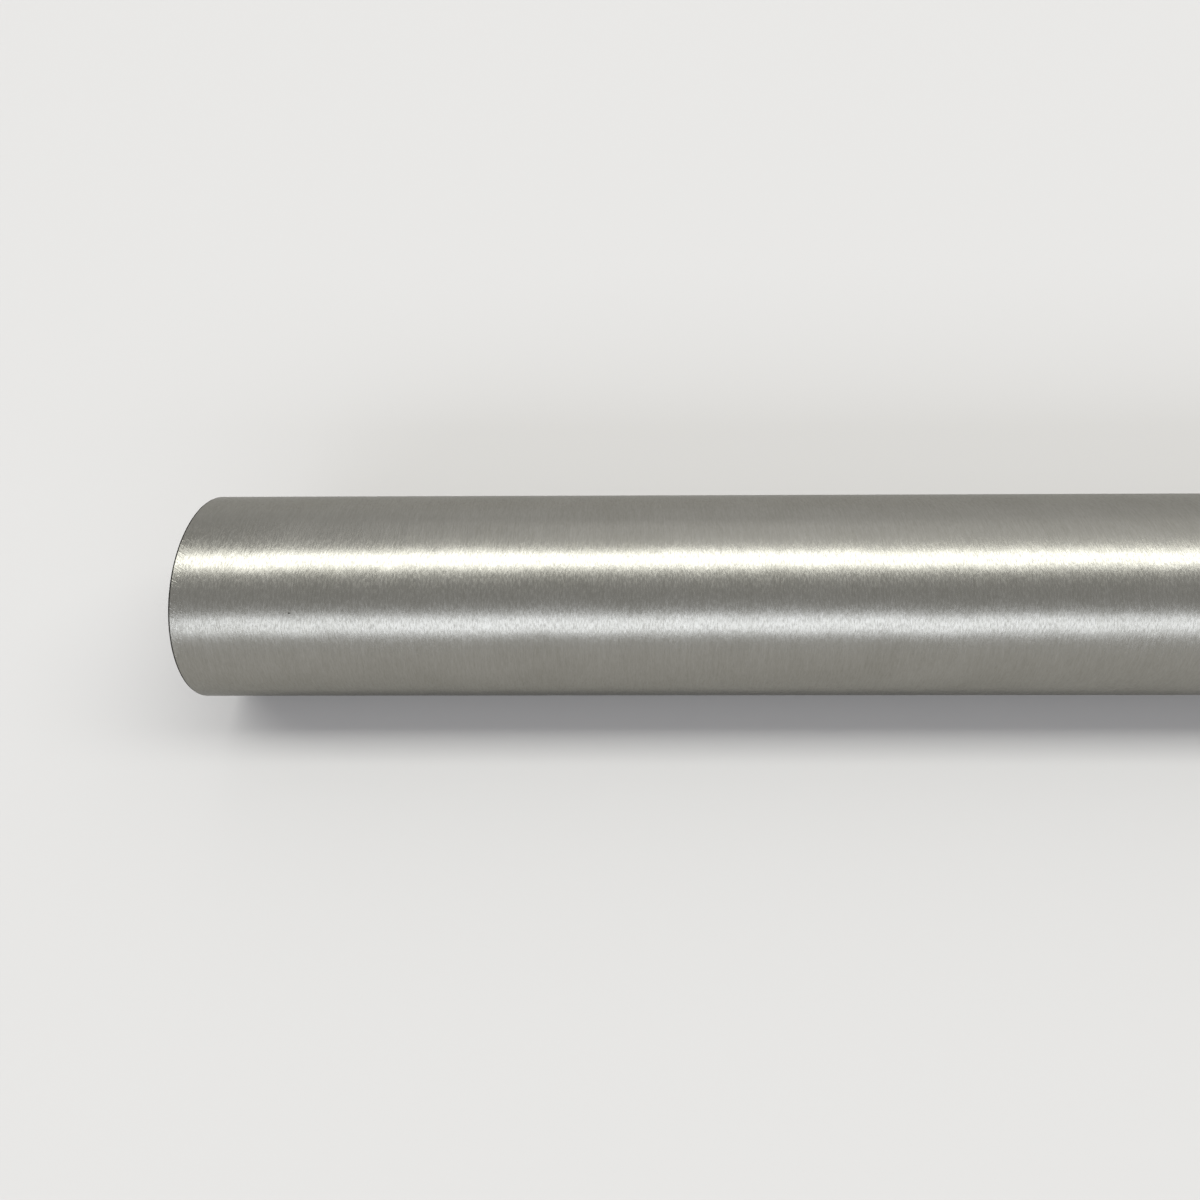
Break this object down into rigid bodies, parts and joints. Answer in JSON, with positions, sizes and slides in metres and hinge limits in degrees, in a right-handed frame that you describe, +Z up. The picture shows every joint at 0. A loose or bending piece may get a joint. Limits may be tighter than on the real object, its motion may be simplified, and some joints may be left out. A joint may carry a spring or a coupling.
{
  "type": "curtain pole",
  "caption": "Straight round brushed-steel curtain pole: a thin-walled tube with square, deburred open ends, carried in brackets and hung with curtain rings.",
  "frame": {"origin": "middle of the tube's axis, half way along the pole", "axes": "+X along the pole's axis; +Z up as the pole lies on a level floor"},
  "size_m": [1.2, 0.028, 0.028],
  "materials": {
    "brushed_steel": "brushed round the tube, satin"
  },
  "bodies": {
    "root": {"pole_tube": "brushed_steel"}
  },
  "joints": []
}
